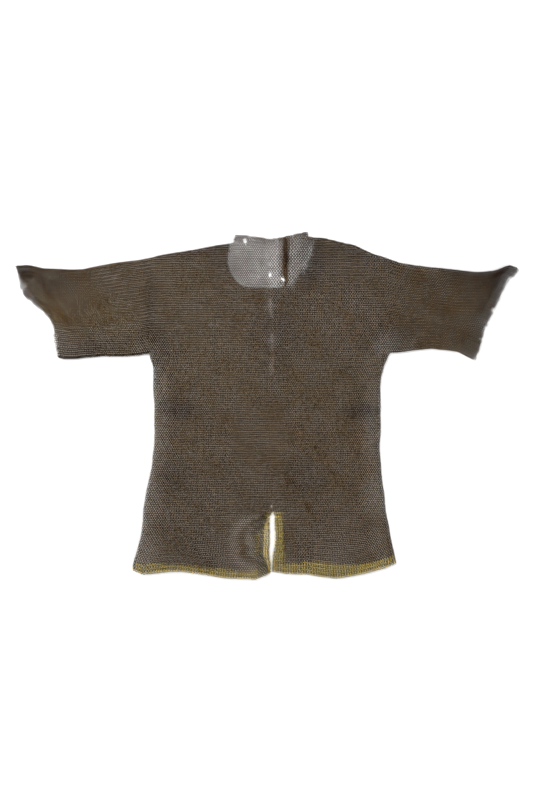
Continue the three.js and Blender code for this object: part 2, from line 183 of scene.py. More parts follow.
# Sleeves: share of the way from armhole to cuff with the sag of the upper and lower fold, and the cuff
# from the upper fold (0) to the lower (1): front x, front y, back x, back y.
SLEEVES = {
    "left": {
        "side": -1,
        "top": 343.0,
        "bottom": 121.5,
        "sag": np.array(
            [
                (0.0, 0, 0),
                (0.12, 5, 4),
                (0.24, 7, 4),
                (0.41, 13, 2.5),
                (0.5, 17, 1),
                (0.61, 16, 3),
                (0.8, 10, 5),
                (0.92, -1, 4),
                (1.0, 0, 0),
            ],
            float,
        ),
        "cuff": np.array(
            [
                (0.0, -579, 324, -579, 324),
                (0.1, -569, 303, -575, 303),
                (0.25, -551, 272, -569, 270),
                (0.4, -532, 243, -556, 248),
                (0.55, -508, 214, -520, 222),
                (0.68, -495, 192, -497, 195),
                (0.76, -490, 174, -490, 174),
                (0.85, -488, 152, -488, 152),
                (1.0, -482, 113, -482, 113),
            ],
            float,
        ),
    },
    "right": {
        "side": 1,
        "top": 341.0,
        "bottom": 123.0,
        "sag": np.array(
            [
                (0.0, 0, 0),
                (0.1, 8, -2),
                (0.22, 11, -7),
                (0.36, 13, -13),
                (0.5, 15, -19),
                (0.68, 16, -18),
                (0.82, 10, -16),
                (0.93, -5, -6),
                (1.0, 0, 0),
            ],
            float,
        ),
        "cuff": np.array(
            [
                (0.0, 579, 319, 579, 319),
                (0.1, 563, 297, 563, 297),
                (0.25, 542, 265, 542, 265),
                (0.4, 525, 232, 525, 232),
                (0.55, 511, 203, 511, 203),
                (0.7, 499, 168, 499, 168),
                (0.85, 489, 136, 489, 136),
                (1.0, 476, 105, 476, 105),
            ],
            float,
        ),
    },
}

# Soft ridges and troughs of the front layer: x, y, length, width, angle, rise.
FOLDS = [
    (-205, -6, 150, 34, -4, -1.4),
    (218, -10, 130, 34, 6, -1.4),
    (-195, 30, 190, 44, -8, 1.6),
    (200, 30, 170, 44, 9, 1.5),
    (-200, -44, 170, 44, 4, 1.4),
    (190, -48, 180, 46, -3, 1.5),
    (-36, 170, 210, 50, 88, 1.3),
    (60, 165, 200, 46, 92, 1.4),
    (-235, 155, 190, 42, 52, 1.9),
    (243, 158, 190, 42, 128, 1.9),
    (-140, 95, 190, 60, 22, 1.2),
    (150, 88, 180, 60, 160, 1.1),
    (-400, 268, 260, 46, 8, 1.5),
    (-400, 168, 230, 50, 4, 1.7),
    (-390, 220, 200, 34, 5, -0.9),
    (430, 262, 260, 46, -8, 1.7),
    (400, 176, 200, 46, -2, 1.5),
    (420, 218, 210, 32, -5, -0.9),
    (-228, -250, 230, 54, 82, 1.6),
    (-120, -265, 200, 60, 88, 1.2),
    (130, -255, 220, 60, 92, 1.3),
    (230, -245, 220, 52, 99, 1.6),
    (20, -110, 220, 70, 4, 1.0),
]

# Rings that are lost from the back of the neck: x, y, half width, half height of the hole.
LOST = [
    (-50.7, 378.5, 5.0, 5.5),
    (6.6, 301.2, 4.5, 7.0),
    (37.8, 291.3, 4.5, 7.0),
    (0.6, 351.1, 3.0, 3.0),
    (-17.1, 297.3, 3.0, 3.0),
]

# Darker patches of the outside, multiplied into the colour; the two at the waist lie on the troughs of FOLDS
# and paint the shade of those creases: x, y, half length, half height, angle, strength.
DARK = [
    (-205, -8, 55, 22, -3, 0.75),
    (218, -12, 44, 20, 4, 0.75),
    (20, 165, 40, 95, 0, 0.45),
    (-252, 130, 26, 60, 0, 0.5),
    (-268, 230, 12, 70, 0, 0.5),
    (-505, 292, 80, 34, -6, 0.55),
    (-420, 130, 80, 16, 3, 0.45),
    (500, 300, 90, 34, -4, 0.5),
    (535, 240, 135, 46, 64, 0.45),
    (560, 312, 40, 24, 10, 0.4),
    (-568, 316, 30, 22, -20, 0.6),
    (430, 225, 170, 110, -8, 0.25),
    (45, 345, 9, 60, 2, 0.8),
    (80, 345, 32, 80, 0, 0.6),
    (290, 150, 50, 30, 0, 0.45),
    (-222, -165, 40, 50, 0, 0.4),
    (85, -170, 50, 50, 0, 0.35),
    (-150, -330, 60, 30, 0, 0.25),
    (110, 340, 34, 60, 10, 0.45),
    (-110, 345, 30, 50, -5, 0.3),
    (200, 350, 90, 14, -15, 0.4),
    (-180, 350, 90, 10, 10, 0.35),
]
# Paler, olive patches.
PALE = [
    (-350, 195, 75, 50, 5, 0.8),
    (-160, 200, 60, 120, 10, 0.35),
    (-90, 60, 90, 70, 0, 0.3),
    (120, 60, 90, 60, 0, 0.2),
    (-158, 152, 9, 7, 0, 1.0),
    (-50, -69, 8, 6, 0, 1.0),
    (51, -193, 8, 6, 0, 1.0),
    (330, 230, 50, 60, 0, 0.3),
]

rng = np.random.default_rng(2614)


# ---- helpers -------------------------------------------------------------------------------------
def soft(t):
    s = np.clip(t, 0, 1)
    return s * s * (3 - 2 * s)


def column(table, at, k):
    return np.interp(at, table[:, 0], table[:, k])


def to_line(points, x, y):
    best = np.full(np.shape(x), 1e9)
    for (ax, ay), (bx, by) in zip(points[:-1], points[1:]):
        dx, dy = bx - ax, by - ay
        t = np.clip(((x - ax) * dx + (y - ay) * dy) / (dx * dx + dy * dy), 0, 1)
        best = np.minimum(best, np.hypot(x - ax - t * dx, y - ay - t * dy))
    return best


def inside(points, x, y):
    hit = np.zeros(np.shape(x), bool)
    n = len(points)
    for i in range(n):
        (ax, ay), (bx, by) = points[i], points[(i + 1) % n]
        if ay == by:
            continue
        cross = (ay > y) != (by > y)
        hit ^= cross & (x < (bx - ax) * (y - ay) / (by - ay) + ax)
    return hit


def curve_through(points, parts):
    p = np.vstack([points[:1], points, points[-1:]])
    out = []
    for k in range(parts + 1):
        at = (len(points) - 1) * k / parts
        i = min(int(at), len(points) - 2)
        t = at - i
        a, b, c, d = p[i], p[i + 1], p[i + 2], p[i + 3]
        out.append(
            0.5
            * (
                2 * b
                + (c - a) * t
                + (2 * a - 5 * b + 4 * c - d) * t * t
                + (3 * b - a - 3 * c + d) * t**3
            )
        )
    return np.array(out)


NECK_CURVE = curve_through(NECK, 30)
NECK_AREA = np.vstack([NECK_CURVE, [(110, 440), (-84, 440)]])
SLIT_LINE = SLIT[:, [1, 0]]
VENT_LINE = np.stack([(VENT[:, 1] + VENT[:, 3]) / 2, VENT[:, 0]], 1)


def fold_rise(x, y):
    total = np.full(np.shape(x), LOFT)
    for fx, fy, length, width, angle, rise in FOLDS:
        a = math.radians(angle)
        u = ((x - fx) * math.cos(a) + (y - fy) * math.sin(a)) / (length / 2)
        v = (-(x - fx) * math.sin(a) + (y - fy) * math.cos(a)) / (width / 2)
        near = (np.abs(u) < 1) & (np.abs(v) < 1)
        total = total + np.where(
            near, rise * (1 - u * u) ** 2 * (0.5 + 0.5 * np.cos(np.pi * v)), 0
        )
    return np.clip(total, 0, MOST_LOFT)


def patches(table, x, y):
    total = np.zeros(np.shape(x))
    for px, py, long, high, angle, strength in table:
        a = math.radians(angle)
        u = ((x - px) * math.cos(a) + (y - py) * math.sin(a)) / long
        v = (-(x - px) * math.sin(a) + (y - py) * math.cos(a)) / high
        total = total + strength * np.exp(-((u * u + v * v) ** 1.3))
    return total


# Uneven drift of the lattice: a few long waves, the same for every piece so that seams stay shut.
WAVES = [
    (
        rng.uniform(30, 110),
        rng.uniform(0, 2 * math.pi),
        rng.uniform(0, 2 * math.pi),
        rng.uniform(-1, 1),
        rng.uniform(-1, 1),
    )
    for _ in range(28)
]


def drift(x, y, waves=WAVES[:14]):
    dx, dy = np.zeros(np.shape(x)), np.zeros(np.shape(x))
    for wave, heading, phase, ax, ay in waves:
        s = np.sin(
            2 * math.pi * (x * math.cos(heading) + y * math.sin(heading)) / wave + phase
        )
        size = wave / 75
        dx, dy = dx + 0.42 * size * ax * s, dy + 0.34 * size * ay * s
    return dx, dy


# ---- the layers of the body ----------------------------------------------------------------------
ALL_COLUMNS = COLUMNS_LEFT + COLUMNS_RIGHT


def middle_line(y):
    """x of the line that parts the net's left and right halves."""
    up = np.interp(y, SLIT[:, 0], SLIT[:, 1])
    return np.where(y < 60, 13.0, up)


def free_shift(y, layer, left, away):
    """How far the net beside its parting line moves aside in the vent and the slit."""
    low = np.clip(y, VENT[0, 0], VENT_TOP)
    # Close to the vent it opens at once, farther off over a longer way.
    in_vent = soft((VENT_TOP + 5 + 0.7 * away - y) / (14 + 1.6 * away))
    far = np.clip(1 - away / 170, 0, 1) ** 1.3
    if left:
        shift = (column(VENT, low, 2) - 2.8 - 13.0) * far
        if layer == "front":
            own = np.maximum(column(VENT, low, 3), -8.0) - column(VENT, low, 2)
            shift = shift + own * np.clip(1 - away / 110, 0, 1) ** 1.2
    else:
        shift = (column(VENT, low, 1) - 1.3 - 13.0) * far
    shift = shift * in_vent
    if layer == "front":
        stands = np.clip(np.interp(y, SLIT[:, 0], SLIT[:, 2]) - 1.0, 0, 9) * 1.0
        stands = stands * ((y > 60) & (y < 290)) * np.clip(1 - away / 30, 0, 1)
        shift = shift + (-stands if left else stands)
    return shift


def body_point(c, r, layer, left):
    """Place of column c and row r of a body layer. left is true where the ring belongs to the left half."""
    nominal = HEM_MIDDLE + REACH + r * ROW
    bend = 1 - soft((nominal - HEM_MIDDLE) / 150)
    y = nominal
    x = np.zeros(np.shape(c))
    for _ in range(3):
        lo, hi = column(SIDES, y, 1), column(SIDES, y, 2)
        closed = soft((ARMPIT + 4 - y) / 12)
        inset = SIDE_INSET * closed
        stretch = (math.pi / 2 - 1) * FOLD_RADIUS * closed
        mid = middle_line(y)
        arc_left = (mid - lo - inset) + stretch
        arc_right = (hi - inset - mid) + stretch
        s_left = c / COLUMNS_LEFT * arc_left
        s_right = (ALL_COLUMNS - c) / COLUMNS_RIGHT * arc_right
        s = np.where(left, s_left, s_right)
        turn = np.clip(s / FOLD_RADIUS, -math.pi / 2, math.pi / 2)
        flat = s > FOLD_RADIUS * math.pi / 2
        inward_closed = np.where(flat, s - stretch, FOLD_RADIUS * (1 - np.cos(turn)))
        inward = np.where(closed > 0.5, inward_closed, s - stretch)
        rise_share = np.where(closed > 0.5, np.sin(turn), 1.0)
        x = np.where(left, lo + inset + inward, hi - inset - inward)
        away = np.abs(x - mid)
        shift = np.where(
            left, free_shift(y, layer, True, away), free_shift(y, layer, False, away)
        )
        x = x + shift
        # Beside the vent the outermost rings of both kinds draw level, so the slot's edge is clean.
        level = np.clip(1.2 - np.abs(c - COLUMNS_LEFT), 0, 1) * soft((VENT_TOP - y) / 8)
        x = x + level * np.where(np.abs(c - COLUMNS_LEFT) < 0.3, -0.85, np.where(left, 0.75, -0.75))
        y = nominal + bend * (column(HEM, x, 2) - HEM_MIDDLE)
    dx, dy = drift(x, y)
    if layer == "back":
        # Away from the folds the back's rings lie under the gaps of the front's, give or take a drift.
        edge = np.minimum(x - column(SIDES, y, 1), column(SIDES, y, 2) - x)
        pit = np.minimum(
            np.hypot(x - column(SIDES, ARMPIT, 1), y - ARMPIT),
            np.hypot(x - column(SIDES, ARMPIT, 2), y - ARMPIT),
        )
        apart = soft(np.where(y < ARMPIT, edge, pit) / 75)
        more_x, more_y = drift(x, y, WAVES[14:])
        dx, dy = dx + apart * (2.5 + 0.3 * more_x), dy + apart * 0.3 * more_y
    x, y = x + dx, y + dy

    top = column(SHOULDER, x, 1 if layer == "front" else 2)
    over_neck = (x > -84) & (x < 106)
    if layer == "back":
        # The last ring of each file draws up or down towards the free edge behind the neck.
        limit = top - REACH
        first = HEM_MIDDLE + REACH + ROW * (np.round(r) % 2)
        last = first + 2 * ROW * np.round((limit - first) / (2 * ROW))
        draw = 0.6 * (limit - last) * np.clip(1 - (last - y) / 26, 0, 1)
        y = y + np.where(over_neck, draw, 0)
        # The net is gathered in a narrow upright band behind the neck.
        u = (x - 43) / 15
        x = x - 9.5 * u * np.exp(-u * u) * soft((y - 262) / 30)
    to_top = top - y
    side_gap = np.minimum(x - column(SIDES, y, 1), column(SIDES, y, 2) - x)
    to_pit = np.minimum(
        np.hypot(x - column(SIDES, ARMPIT, 1), y - ARMPIT),
        np.hypot(x - column(SIDES, ARMPIT, 2), y - ARMPIT),
    )
    to_side = np.where(y < ARMPIT, side_gap, to_pit)
    round_top = np.clip((to_top - 0.8) / 6.5, 0, 1)
    share_top = np.sqrt(np.clip(1 - (1 - round_top) ** 2, 0, 1))
    share_top = np.where(over_neck & (layer == "back"), 1.0, share_top)
    share = rise_share * share_top
    if layer == "back":
        return np.stack([x, y, MID_Z - (MID_Z - BACK_Z) * share], -1)
    opening = np.minimum(
        np.minimum(to_line(NECK_CURVE, x, y), to_line(SLIT_LINE, x, y)),
        to_line(VENT_LINE, x, y) - 10,
    )
    to_fold = np.minimum(to_side, to_top)
    rise = fold_rise(x, y) * soft(to_fold / EDGE_EASE)
    rise = rise * (0.35 + 0.65 * soft(opening / SLIT_EASE))
    return np.stack([x, y, MID_Z + (FRONT_Z - MID_Z) * share + rise * share], -1)


# ---- the sleeves ---------------------------------------------------------------------------------
def sleeve_place(form, layer, s, down):
    arm_y = form["top"] + (form["bottom"] - form["top"]) * down
    arm_x = column(SIDES, arm_y, 1 if form["side"] < 0 else 2)
    k = 1 if layer == "front" else 3
    cuff_x, cuff_y = column(form["cuff"], down, k), column(form["cuff"], down, k + 1)
    drop = column(form["sag"], s, 1) * (1 - down) + column(form["sag"], s, 2) * down
    return arm_x + (cuff_x - arm_x) * s, arm_y + (cuff_y - arm_y) * s - drop


def sleeve_length(form, layer, down):
    arm_y = form["top"] + (form["bottom"] - form["top"]) * down
    arm_x = column(SIDES, arm_y, 1 if form["side"] < 0 else 2)
    return np.abs(column(form["cuff"], down, 1 if layer == "front" else 3) - arm_x)


def sleeve_point(form, layer, c, r, shift=0.0):
    """Place of a sleeve's ring: c pitches out from the armhole, in row r, which runs on from the body's."""
    arm_y = HEM_MIDDLE + REACH + r * ROW
    down = (form["top"] - arm_y) / (form["top"] - form["bottom"])
    inner = np.clip(down, 0.0, 1.0)
    length = sleeve_length(form, layer, inner)
    s = (c * SLEEVE_PITCH + shift) / length
    x, y = sleeve_place(form, layer, s, inner)
    if layer == "back":
        # The back's files lie with the front's until close to the cuff.
        front_s = (c * SLEEVE_PITCH + shift) / sleeve_length(form, "front", inner)
        with_front = sleeve_place(form, "front", front_s, inner)[1]
        y = with_front + (y - with_front) * soft((s - 0.8) / 0.2)
    y = y + (inner - down) * 220
    to_fold = np.minimum(down, 1 - down) * (222 - 10 * s)
    dx, dy = drift(x, y)
    if layer == "back":
        arm_x = column(SIDES, ARMPIT, 1 if form["side"] < 0 else 2)
        apart = soft(np.hypot(x - arm_x, y - ARMPIT) / 75)
        more_x, more_y = drift(x, y, WAVES[14:])
        dx, dy = dx + apart * (2.5 + 0.3 * more_x), dy + apart * 0.3 * more_y
    x, y = x + dx, y + dy
    near = np.clip((to_fold - 0.8) / 6.5, 0, 1)
    share = np.sqrt(np.clip(1 - (1 - near) ** 2, 0, 1))
    if layer == "back":
        return np.stack([x, y, MID_Z - (MID_Z - BACK_Z) * share], -1)
    rise = fold_rise(x, y) * soft(to_fold / EDGE_EASE) * soft((1 - s) * 12 + 0.35)
    return np.stack([x, y, MID_Z + (FRONT_Z - MID_Z) * share + rise * share], -1)


# ---- rings ---------------------------------------------------------------------------------------
# Round a ring: three short steps over the half that stands out of the layer, two long ones underneath.
ROUND_DEGREES = [0, 60, 120, 180, 270]
ROUND = np.radians(ROUND_DEGREES)
# Across the flattened wire: its ridge, which faces out of the layer, and its inner and outer edge.
CORNERS = np.array([(0.0, RIDGE), (-1.0, EDGE), (1.0, EDGE)])
SIDES_OF_WIRE = [(0, 1), (2, 0)]
TRIANGLES = len(ROUND) * len(SIDES_OF_WIRE) * 2


def unit(v):
    return v / np.maximum(np.linalg.norm(v, axis=-1, keepdims=True), 1e-9)


class Rings:
    """Rings gathered for one piece: middle, direction along the file, outward normal, and lean."""

    def __init__(self):
        self.middle, self.along, self.out, self.kind, self.tone = [], [], [], [], []

    def add(self, middle, along, out, kind, tone=None):
        if len(middle):
            self.tone.append(rng.normal(0, 0.7, len(middle)) if tone is None else tone)
            self.middle.append(middle)
            self.along.append(along)
            self.out.append(out)
            self.kind.append(np.broadcast_to(kind, (len(middle),)).astype(float))

    def arrays(self):
        return (
            np.concatenate(self.middle),
            np.concatenate(self.along),
            np.concatenate(self.out),
            np.concatenate(self.kind),
            np.concatenate(self.tone),
        )

    def count(self):
        return sum(len(m) for m in self.middle)


def uneven(rows, files):
    """Tone of each ring by row and file: every ring differs from its four neighbours, without blotches."""
    raw = rng.normal(0, 1, (rows + 2, files + 2))
    near = raw[:-2, :-2] + raw[:-2, 2:] + raw[2:, :-2] + raw[2:, 2:]
    return (raw[1:-1, 1:-1] - near / 4) / 1.118


def frames(point, c, r):
    """Middle, file direction and upward normal of rings at lattice places, by small steps."""
    middle = point(c, r)
    u = point(c + 0.24, r) - point(c - 0.24, r)
    v = unit(point(c, r + 0.12) - point(c, r - 0.12))
    up = unit(np.cross(u, v))
    return middle, v, up


def build(name, rings, seed, material, nodes):
    """One joined mesh of rings, with a cell of its own in the UV map for each ring."""
    local = np.random.default_rng(seed)
    middle, along, out, kind, tone = rings.arrays()
    n = len(middle)
    out = unit(out)
    along = unit(along - out * np.sum(along * out, -1, keepdims=True))
    side = np.cross(out, along)
    # Rows of the second kind lean the other way: the same ring, turned half round the normal.
    along, side = along * kind[:, None], side * kind[:, None]
    spin = np.radians(local.normal(0, 6, n))[:, None]
    along, side = (
        along * np.cos(spin) + side * np.sin(spin),
        side * np.cos(spin) - along * np.sin(spin),
    )
    behind = out[:, 2] < -0.3
    open_to_view = behind & bared(middle[:, 0], middle[:, 1])
    worn = open_to_view & ((middle[:, 0] > 26) & (middle[:, 1] > 250) | (middle[:, 1] < VENT_TOP))
    ring, wide, lean_by = np.select(
        [worn[:, None], open_to_view[:, None], behind[:, None]],
        [SHAPE["worn"], SHAPE["bared"], SHAPE["back"]],
        SHAPE["front"],
    ).T
    tilt = (lean_by + np.radians(local.normal(0, 4.5, n)))[:, None]
    roll = np.radians(local.normal(0, 5, n))[:, None]
    lean = side * np.cos(tilt) + out * np.sin(tilt)
    axis = np.cross(along, lean)
    along, axis = (
        along * np.cos(roll) + axis * np.sin(roll),
        axis * np.cos(roll) - along * np.sin(roll),
    )
    radius = ring * (1 + local.normal(0, 0.018, n))
    thick = 1 + local.normal(0, 0.05, n)
    middle = middle + local.normal(0, 0.2, (n, 3)) * np.array([1, 1, 0.7])

    # Where the inside of the back shows, the short steps and the wire's ridge are on the inner side.
    grey = np.where(
        out[:, 2] < 0,
        neck_grey(middle[:, 0], middle[:, 1]),
        edge_grey(middle[:, 0], middle[:, 1]),
    )
    flip = np.where(open_to_view, -1.0, 1.0)[:, None, None]
    ca, sa = np.cos(ROUND), np.sin(ROUND)
    cp, sp = CORNERS.T
    radial = flip * (
        ca[None, :, None] * along[:, None, :] + sa[None, :, None] * lean[:, None, :]
    )
    points = (
        middle[:, None, None, :]
        + (radius[:, None, None] + (thick * wide)[:, None, None] * cp[None, None, :])[..., None]
        * radial[:, :, None, :]
        + (flip * thick[:, None, None] * sp[None, None, :])[..., None]
        * axis[:, None, None, :]
    )
    steps, corners = len(ROUND), len(CORNERS)
    lowest = points[..., 2].min(axis=(1, 2))
    points[..., 2] += np.clip(0.05 - lowest, 0, None)[:, None, None]
    per = steps * corners
    vertices = points.reshape(-1, 3) / 1000

    i, side_of = np.meshgrid(np.arange(steps), np.arange(len(SIDES_OF_WIRE)), indexing="ij")
    i, side_of = i.ravel(), side_of.ravel()
    k, k2 = np.array(SIDES_OF_WIRE)[side_of].T
    i2 = (i + 1) % steps
    quad = np.stack(
        [
            i * corners + k,
            i2 * corners + k,
            i2 * corners + k2,
            i * corners + k2,
        ],
        -1,
    )
    quads = np.where(flip < 0, quad[None][:, :, ::-1], quad[None])
    loops = (quads + (np.arange(n) * per)[:, None, None]).reshape(-1)

    mesh = bpy.data.meshes.new(name)
    mesh.vertices.add(n * per)
    mesh.vertices.foreach_set("co", vertices.astype(np.float32).ravel())
    mesh.loops.add(len(loops))
    mesh.loops.foreach_set("vertex_index", loops.astype(np.int32))
    faces = n * len(quad)
    mesh.polygons.add(faces)
    mesh.polygons.foreach_set("loop_start", np.arange(faces, dtype=np.int32) * 4)
    mesh.polygons.foreach_set("use_smooth", np.ones(faces, bool))

    # The unrolled wire of each ring, five steps by two sides, in its own cell.
    cells = math.ceil(math.sqrt(n))
    cell = 1.0 / cells
    step_end = np.array([*ROUND_DEGREES, 360]) / 360
    quad_u = np.stack([step_end[i], step_end[i + 1], step_end[i + 1], step_end[i]], -1)
    quad_v = np.stack([side_of, side_of, side_of + 1, side_of + 1], -1) / len(SIDES_OF_WIRE)
    u0 = (np.arange(n) % cells)[:, None, None] * cell
    v0 = (np.arange(n) // cells)[:, None, None] * cell
    quad_u = np.where(flip < 0, quad_u[None][:, :, ::-1], quad_u[None])
    quad_v = np.where(flip < 0, quad_v[None][:, :, ::-1], quad_v[None])
    uv = np.stack([u0 + cell * (0.05 + 0.9 * quad_u), v0 + cell * (0.05 + 0.9 * quad_v)], -1)
    layer = mesh.uv_layers.new(name="OFBake")
    layer.uv.foreach_set("vector", uv.astype(np.float32).ravel())

    # How each ring looks: its own tone, with the files of the one lean painted lighter than those of the
    # other, as a side light shows them, how dark or pale the net is there, and how grey.
    x, y = middle[:, 0], middle[:, 1]
    tone = np.clip(0.5 + 0.2 * kind + 0.1 * tone, 0, 1)
    # The back's rings in the slit are painted at the lightest tone, standing in for the light that shows
    # through the slit.
    tone = np.where(shows_in_slit(x, y) & (out[:, 2] < 0), 1.0, tone)
    dark = np.clip(patches(DARK, x, y), 0, 1)
    pale = np.clip(patches(PALE, x, y), 0, 1)
    # Height on the ring, 1 on the crown that stands out of the layer and 0 on the arc underneath: it places a
    # painted highlight on the crown and painted shade with dark patina on the arc underneath.
    crown_highlight = np.einsum("nijk,nk->nij", points - middle[:, None, None, :], out)
    reach = (ring * np.sin(lean_by) + 0.5)[:, None, None]
    crown_highlight = np.clip(0.5 + crown_highlight / (2 * reach), 0, 1)
    # The cube narrows the painted highlight to a glint at the top of each crown; where the inside shows, the
    # highlight goes on either arc.
    inner = open_to_view[:, None, None]
    crown_highlight = np.where(inner, np.maximum(1 - crown_highlight, crown_highlight), crown_highlight) ** 3.0
    # Rings that stand across a fold, seen side on, are painted with at least this much highlight.
    across_fold = (np.abs(out[:, 2]) < 0.3)[:, None, None]
    crown_highlight = np.where(across_fold, np.maximum(crown_highlight, 0.5), crown_highlight)
    for label, values in (
        ("tone", np.repeat(tone, per)),
        ("dark", np.repeat(dark, per)),
        ("pale", np.repeat(pale, per)),
        ("grey", np.repeat(grey, per)),
        ("crown_highlight", crown_highlight.reshape(-1)),
    ):
        attribute = mesh.attributes.new(label, "FLOAT", "POINT")
        attribute.data.foreach_set("value", values.astype(np.float32))
    mesh.materials.append(material)
    mesh.update(calc_edges=True)
    mesh.validate()

    piece = bpy.data.objects.new(name, mesh)
    bpy.context.scene.collection.objects.link(piece)
    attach(piece, "root")
    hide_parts(*nodes)
    return piece


def past_cuff(x, y):
    """Past the left cuff's front layer, where the back one runs on."""
    cuff_front = np.interp(y, [150, 174, 214, 243, 272, 303, 324], [-488, -490, -508, -532, -551, -569, -579])
    return (x < cuff_front) & (y > 185)


def bared(x, y):
    """Where the inside of the back shows: in the neck, the slit, past the left cuff and beside the vent."""
    low = np.clip(y, VENT[0, 0], VENT_TOP)
    strip = (y < VENT_TOP) & (x > column(VENT, low, 3) - 3) & (x < column(VENT, low, 2) + 3)
    return inside(NECK_AREA, x, y) | past_cuff(x, y) | shows_in_slit(x, y) | strip


def edge_grey(x, y):
    """The front's own edging left of the vent is turned nearly all to the grey colour, but for a spot that
    keeps more of its brass.
    """
    low = np.clip(y, VENT[0, 0], VENT_TOP)
    strip = (y < VENT_TOP) & (x > column(VENT, low, 6) - 3) & (x < column(VENT, low, 3) + 3)
    spot = (x < -15) & (y > -342) & (y < -290)
    return np.where(strip, np.where(spot, 0.35, 0.9), 0.0)


def neck_grey(x, y):
    """How grey the metal inside the back is: in the neck, past the left cuff and in the slit."""
    neck = inside(NECK_AREA, x, y) * 0.75
    cuff = past_cuff(x, y)
    slit = shows_in_slit(x, y)
    # To the right of its dark band the neck is browner.
    neck = neck * (1 - 0.65 * soft((x - 26) / 14))
    return np.maximum.reduce([neck, cuff * 0.8, slit * 0.55])


def shows_in_slit(x, y):
    return (np.abs(x - middle_line(y)) < 3.6) & (y > 60) & (y < 290)


# ---- materials -----------------------------------------------------------------------------------
def linear(r, g, b):
    return [
        c / 12.92 if c <= 0.04045 else ((c + 0.055) / 1.055) ** 2.4
        for c in (r / 255, g / 255, b / 255)
    ] + [1.0]


def metal(name, hollow_dirt_and_shade, body, crown_highlight, dark, pale, grey, metallic, rough, grain):
    """Patinated metal: along each ring from painted shade with dark patina on the hollow underneath to a
    painted highlight on the crown, with dark, pale and grey zones.
    """
    material = bpy.data.materials.new(name)
    material.use_nodes = True
    tree = material.node_tree
    tree.nodes.clear()
    add = tree.nodes.new
    link = tree.links.new
    surface = add("ShaderNodeBsdfPrincipled")
    end = add("ShaderNodeOutputMaterial")
    link(surface.outputs["BSDF"], end.inputs["Surface"])

    def value(label):
        node = add("ShaderNodeAttribute")
        node.attribute_name = label
        return node.outputs["Fac"]

    def maths(operation, a, b):
        node = add("ShaderNodeMath")
        node.operation = operation
        for socket, given in zip(node.inputs, (a, b)):
            if isinstance(given, (int, float)):
                socket.default_value = given
            else:
                link(given, socket)
        return node.outputs[0]

    def mix(share, a, b, blend="MIX"):
        node = add("ShaderNodeMix")
        node.data_type = "RGBA"
        node.blend_type = blend
        node.clamp_factor = True
        for socket, given in ((node.inputs[0], share), (node.inputs[6], a), (node.inputs[7], b)):
            if isinstance(given, (int, float, list, tuple)):
                socket.default_value = given
            else:
                link(given, socket)
        return node.outputs[2]

    place = add("ShaderNodeTexCoord")
    noise = add("ShaderNodeTexNoise")
    noise.inputs["Scale"].default_value = 55
    noise.inputs["Detail"].default_value = 4
    noise.inputs["Roughness"].default_value = 0.65
    link(place.outputs["Object"], noise.inputs["Vector"])
    fine = add("ShaderNodeTexNoise")
    fine.inputs["Scale"].default_value = 900
    fine.inputs["Detail"].default_value = 3
    link(place.outputs["Object"], fine.inputs["Vector"])

    # Painted highlight and shade: the crown mask, moved by each ring's tone and a soft noise, runs the colour
    # from the painted shade of the hollow to the painted highlight of the crown.
    tone = maths("SUBTRACT", value("tone"), 0.5)
    height = maths("ADD", value("crown_highlight"), maths("MULTIPLY", tone, 0.8))
    height = maths(
        "ADD", height, maths("MULTIPLY", maths("SUBTRACT", noise.outputs[0], 0.5), 0.3)
    )
    ramp = add("ShaderNodeValToRGB")
    ramp.color_ramp.elements[0].position = 0.1
    ramp.color_ramp.elements[0].color = hollow_dirt_and_shade
    ramp.color_ramp.elements[1].position = 1.0
    ramp.color_ramp.elements[1].color = crown_highlight
    middle = ramp.color_ramp.elements.new(0.42)
    middle.color = body
    link(height, ramp.inputs["Fac"])
    colour = ramp.outputs["Color"]
    colour = mix(value("grey"), colour, grey)
    colour = mix(maths("MULTIPLY", value("pale"), 0.8), colour, pale, "SCREEN")
    colour = mix(value("dark"), colour, dark, "MULTIPLY")
    speck = maths("MULTIPLY", fine.outputs[0], 1.0)
    rust = add("ShaderNodeMapRange")
    rust.inputs["From Min"].default_value = 0.52
    rust.inputs["From Max"].default_value = 0.72
    link(speck, rust.inputs["Value"])
    colour = mix(maths("MULTIPLY", rust.outputs["Result"], 0.55), colour, hollow_dirt_and_shade)
    link(colour, surface.inputs["Base Color"])
    surface.inputs["Metallic"].default_value = metallic
    surface.inputs["Specular Tint"].default_value = (0.8, 0.66, 0.52, 1)
    spread = add("ShaderNodeMapRange")
    spread.inputs["To Min"].default_value = rough - 0.12
    spread.inputs["To Max"].default_value = rough + 0.16
    link(noise.outputs[0], spread.inputs["Value"])
    link(spread.outputs["Result"], surface.inputs["Roughness"])
    bump = add("ShaderNodeBump")
    bump.inputs["Strength"].default_value = grain
    bump.inputs["Distance"].default_value = 0.0002
    link(fine.outputs[0], bump.inputs["Height"])
    link(bump.outputs["Normal"], surface.inputs["Normal"])
    return material


# In both metals the hollow colour is painted shade with dark patina, and the crown colour is a painted
# highlight.
iron = metal(
    "iron",
    hollow_dirt_and_shade=linear(3, 2, 1),
    body=linear(23, 16, 10),
    crown_highlight=linear(156, 128, 92),
    dark=linear(122, 102, 90),
    pale=linear(44, 44, 30),
    grey=linear(60, 41, 42),
    metallic=0.9,
    rough=0.4,
    grain=0.25,
)
brass = metal(
    "brass",
    hollow_dirt_and_shade=linear(16, 12, 4),
    body=linear(92, 76, 22),
    crown_highlight=linear(246, 216, 112),
    dark=linear(170, 160, 140),
    pale=linear(40, 36, 20),
    grey=linear(50, 40, 34),
    metallic=0.9,
    rough=0.4,
    grain=0.25,
)

# ---- laying the net ------------------------------------------------------------------------------
rings = {
    name: Rings()
    for name in (
        "net_front_left",
        "net_front_right",
        "net_back_left",
        "net_back_right",
        "net_sleeve_left",
        "net_sleeve_right",
        *(f"brass_{p}_{l}_{s}" for p in ("hem", "vent") for l in ("front", "back") for s in ("left", "right")),
    )
}

